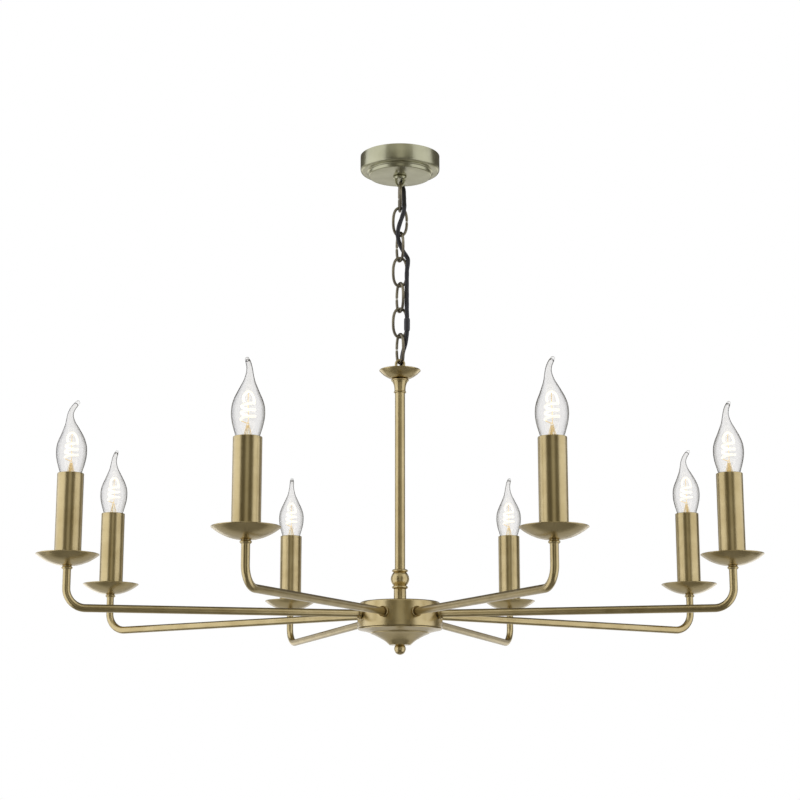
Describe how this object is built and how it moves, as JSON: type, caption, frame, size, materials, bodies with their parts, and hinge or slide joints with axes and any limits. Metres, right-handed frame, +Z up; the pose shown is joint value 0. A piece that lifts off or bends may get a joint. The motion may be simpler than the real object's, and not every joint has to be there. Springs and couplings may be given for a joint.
{
  "type": "multi arm chandelier",
  "caption": "Brass chandelier with straight radial arms, candle sleeves on dishes and bent-tip bulbs, hung by a short chain and cable from a round ceiling canopy.",
  "frame": {"origin": "centre of the ceiling bracket's flat top face, in the ceiling plane", "axes": "+Z up towards the ceiling; the object hangs along -Z; arms stand at 22.5 degrees and every 45 degrees from +X; the face towards -Y is the front"},
  "size_m": [0.8164, 0.8164, 0.6266],
  "materials": {
    "antique_brass": "satin antique brass, brushed and lacquered",
    "canopy_brass": "satin antique brass, paler and greyer on the canopy",
    "chain_brass": "darkened antique brass wire",
    "steel": "zinc plated",
    "lampholder": "matt moulded thermoplastic",
    "bulb_glass": "clear blown glass",
    "cable_black": "black sheathed twin cable"
  },
  "bodies": {
    "ceiling": {"ceiling_bracket": "steel", "ceiling_canopy": "canopy_brass", "canopy_loop": "canopy_brass", "supply_cable": "cable_black"},
    "link_1": {"chain_link_1": "chain_brass"},
    "link_2": {"chain_link_2": "chain_brass"},
    "link_3": {"chain_link_3": "chain_brass"},
    "link_4": {"chain_link_4": "chain_brass"},
    "link_5": {"chain_link_5": "chain_brass"},
    "link_6": {"chain_link_6": "chain_brass", "cable_sleeve": "cable_black"},
    "link_7": {"chain_link_7": "chain_brass"},
    "fixture": {"stem_loop": "antique_brass", "stem_dish": "antique_brass", "stem_collar": "antique_brass", "stem_tube": "antique_brass", "stem_knop": "antique_brass", "hub_body": "antique_brass", "hub_bottom_cover": "antique_brass", "hub_finial": "antique_brass", "arm_tube_1": "antique_brass", "candle_dish_1": "antique_brass", "candle_sleeve_1": "antique_brass", "lampholder_1": "lampholder", "arm_tube_2": "antique_brass", "candle_dish_2": "antique_brass", "candle_sleeve_2": "antique_brass", "lampholder_2": "lampholder", "arm_tube_3": "antique_brass", "candle_dish_3": "antique_brass", "candle_sleeve_3": "antique_brass", "lampholder_3": "lampholder", "arm_tube_4": "antique_brass", "candle_dish_4": "antique_brass", "candle_sleeve_4": "antique_brass", "lampholder_4": "lampholder", "arm_tube_5": "antique_brass", "candle_dish_5": "antique_brass", "candle_sleeve_5": "antique_brass", "lampholder_5": "lampholder", "arm_tube_6": "antique_brass", "candle_dish_6": "antique_brass", "candle_sleeve_6": "antique_brass", "lampholder_6": "lampholder", "arm_tube_7": "antique_brass", "candle_dish_7": "antique_brass", "candle_sleeve_7": "antique_brass", "lampholder_7": "lampholder", "arm_tube_8": "antique_brass", "candle_dish_8": "antique_brass", "candle_sleeve_8": "antique_brass", "lampholder_8": "lampholder"},
    "lamp_1": {"bulb_1": "bulb_glass"},
    "lamp_2": {"bulb_2": "bulb_glass"},
    "lamp_3": {"bulb_3": "bulb_glass"},
    "lamp_4": {"bulb_4": "bulb_glass"},
    "lamp_5": {"bulb_5": "bulb_glass"},
    "lamp_6": {"bulb_6": "bulb_glass"},
    "lamp_7": {"bulb_7": "bulb_glass"},
    "lamp_8": {"bulb_8": "bulb_glass"}
  },
  "joints": [
    {"name": "chain_swing_1", "type": "hinge", "parent": "ceiling", "child": "link_1", "pos_m": [0, 0, -0.039], "axis": [1, 0, 0], "range_deg": [-8, 8], "deforming": ["supply_cable"]},
    {"name": "chain_swing_2", "type": "hinge", "parent": "link_1", "child": "link_2", "pos_m": [0, 0, -0.07183], "axis": [-0.1045, 0.9945, 0], "range_deg": [-8, 8]},
    {"name": "chain_swing_3", "type": "hinge", "parent": "link_2", "child": "link_3", "pos_m": [0, 0, -0.10461], "axis": [1, 0, 0], "range_deg": [-8, 8]},
    {"name": "chain_swing_4", "type": "hinge", "parent": "link_3", "child": "link_4", "pos_m": [0, 0, -0.13739], "axis": [-0.4695, 0.8829, 0], "range_deg": [-8, 8]},
    {"name": "chain_swing_5", "type": "hinge", "parent": "link_4", "child": "link_5", "pos_m": [0, 0, -0.17017], "axis": [1, 0, 0], "range_deg": [-8, 8]},
    {"name": "chain_swing_6", "type": "hinge", "parent": "link_5", "child": "link_6", "pos_m": [0, 0, -0.20295], "axis": [-0.4695, 0.8829, 0], "range_deg": [-8, 8]},
    {"name": "chain_swing_7", "type": "hinge", "parent": "link_6", "child": "link_7", "pos_m": [0, 0, -0.23573], "axis": [1, 0, 0], "range_deg": [-8, 8]},
    {"name": "chain_swing_8", "type": "hinge", "parent": "link_7", "child": "fixture", "pos_m": [0, 0, -0.26851], "axis": [-0.4695, 0.8829, 0], "range_deg": [-8, 8]},
    {"name": "bulb_1_lift", "type": "slide", "parent": "fixture", "child": "lamp_1", "axis": [0, 0, 1], "range_m": [0, 0.04]},
    {"name": "bulb_2_lift", "type": "slide", "parent": "fixture", "child": "lamp_2", "axis": [0, 0, 1], "range_m": [0, 0.04]},
    {"name": "bulb_3_lift", "type": "slide", "parent": "fixture", "child": "lamp_3", "axis": [0, 0, 1], "range_m": [0, 0.04]},
    {"name": "bulb_4_lift", "type": "slide", "parent": "fixture", "child": "lamp_4", "axis": [0, 0, 1], "range_m": [0, 0.04]},
    {"name": "bulb_5_lift", "type": "slide", "parent": "fixture", "child": "lamp_5", "axis": [0, 0, 1], "range_m": [0, 0.04]},
    {"name": "bulb_6_lift", "type": "slide", "parent": "fixture", "child": "lamp_6", "axis": [0, 0, 1], "range_m": [0, 0.04]},
    {"name": "bulb_7_lift", "type": "slide", "parent": "fixture", "child": "lamp_7", "axis": [0, 0, 1], "range_m": [0, 0.04]},
    {"name": "bulb_8_lift", "type": "slide", "parent": "fixture", "child": "lamp_8", "axis": [0, 0, 1], "range_m": [0, 0.04]}
  ]
}
